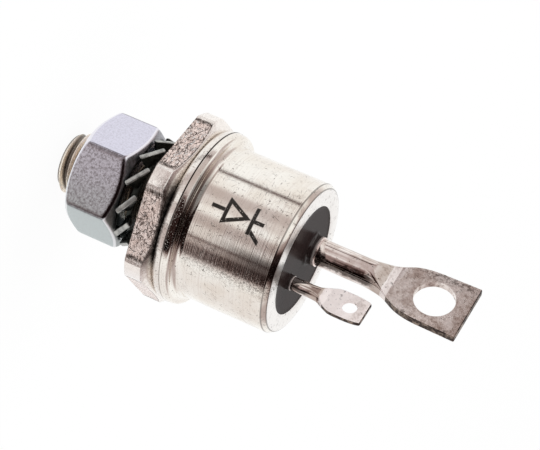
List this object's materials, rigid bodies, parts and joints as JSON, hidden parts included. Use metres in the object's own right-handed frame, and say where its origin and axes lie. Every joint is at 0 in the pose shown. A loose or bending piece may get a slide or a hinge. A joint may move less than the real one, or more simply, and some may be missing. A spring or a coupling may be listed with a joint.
{
  "type": "stud-mount thyristor",
  "caption": "Stud-mount power thyristor: hex base with threaded stud, nut and lock washer, metal can with glass seal, and flat solder lugs with eyes for cathode and gate.",
  "frame": {"origin": "centre of the seat face under the hex base, on the stud's axis", "axes": "+Z along the stud's axis from the seat towards the lugs; +X towards the gate lug; both lugs lie in the XZ plane, so their eyes run along Y"},
  "size_m": [0.019, 0.018, 0.0418],
  "materials": {
    "base_nickel": "satin nickel plate on copper, slightly rough on the hex flats",
    "ring_nickel": "satin nickel plate on steel",
    "can_nickel": "polished nickel plate with fine turning lines",
    "seal_glass": "dark glossy sealing glass, opaque",
    "lug_nickel": "nickel plate on coined copper",
    "nut_zinc": "bright zinc plate, faintly blue",
    "washer_black": "blackened spring steel",
    "solder": "dull solder",
    "molybdenum": "matt sheet metal",
    "silicon": "dark grey, polished",
    "varnish": "red-brown insulating varnish",
    "copper": "bare soft copper"
  },
  "bodies": {
    "root": {"stud_base": "base_nickel", "weld_ring": "ring_nickel", "case_shell": "can_nickel", "glass_seal": "seal_glass", "cathode_terminal": "lug_nickel", "gate_terminal": "lug_nickel", "hex_nut": "nut_zinc", "lock_washer": "washer_black", "anode_solder": "solder", "anode_disc": "molybdenum", "pellet_solder": "solder", "silicon_pellet": "silicon", "edge_coating": "varnish", "cathode_solder": "solder", "cathode_disc": "molybdenum", "cathode_lead": "copper", "gate_lead": "copper"}
  },
  "joints": []
}
